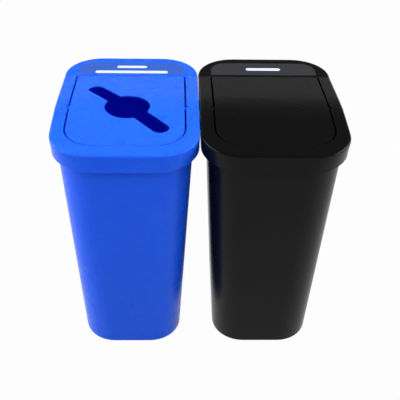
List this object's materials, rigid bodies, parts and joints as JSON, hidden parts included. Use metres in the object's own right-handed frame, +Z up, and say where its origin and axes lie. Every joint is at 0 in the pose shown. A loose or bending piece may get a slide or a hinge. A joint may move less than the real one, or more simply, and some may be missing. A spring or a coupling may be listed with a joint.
{
  "type": "double recycling bin",
  "caption": "Slim tapered recycling bins clipped side by side, with lift-off lids and front-push swing panels, one pierced by a round hole crossed by a slanted slot.",
  "frame": {"origin": "on the floor, midway between the two bins and midway between the front and rear of their lids", "axes": "+X to the right across both bins, +Y to the rear, +Z up"},
  "size_m": [0.5764, 0.427, 0.539],
  "materials": {
    "blue_shell": "satin moulded polypropylene, solid blue",
    "black_shell": "satin moulded polypropylene, solid black",
    "blue_label": "printed self-adhesive film, greyish blue",
    "black_label": "printed self-adhesive film, dark grey"
  },
  "bodies": {
    "tubs": {"tub_recycling": "blue_shell", "tub_waste": "black_shell", "joining_clip_front": "black_shell", "joining_clip_rear": "black_shell"},
    "lid_recycling": {"lid_frame_recycling": "blue_shell", "label_film_recycling": "blue_label"},
    "lid_waste": {"lid_frame_waste": "black_shell", "label_film_waste": "black_label"},
    "panel_recycling": {"swing_panel_recycling": "blue_shell"},
    "panel_waste": {"swing_panel_waste": "black_shell"}
  },
  "joints": [
    {"name": "lid_recycling_lift", "type": "slide", "parent": "tubs", "child": "lid_recycling", "axis": [0, 0, 1], "range_m": [0, 0.08]},
    {"name": "lid_waste_lift", "type": "slide", "parent": "tubs", "child": "lid_waste", "axis": [0, 0, 1], "range_m": [0, 0.08]},
    {"name": "panel_recycling_swing", "type": "hinge", "parent": "lid_recycling", "child": "panel_recycling", "pos_m": [-0.1444, -0.0387, 0.5315], "axis": [1, 0, 0], "range_deg": [0, 75]},
    {"name": "panel_waste_swing", "type": "hinge", "parent": "lid_waste", "child": "panel_waste", "pos_m": [0.1444, -0.0387, 0.5315], "axis": [1, 0, 0], "range_deg": [0, 75]}
  ]
}
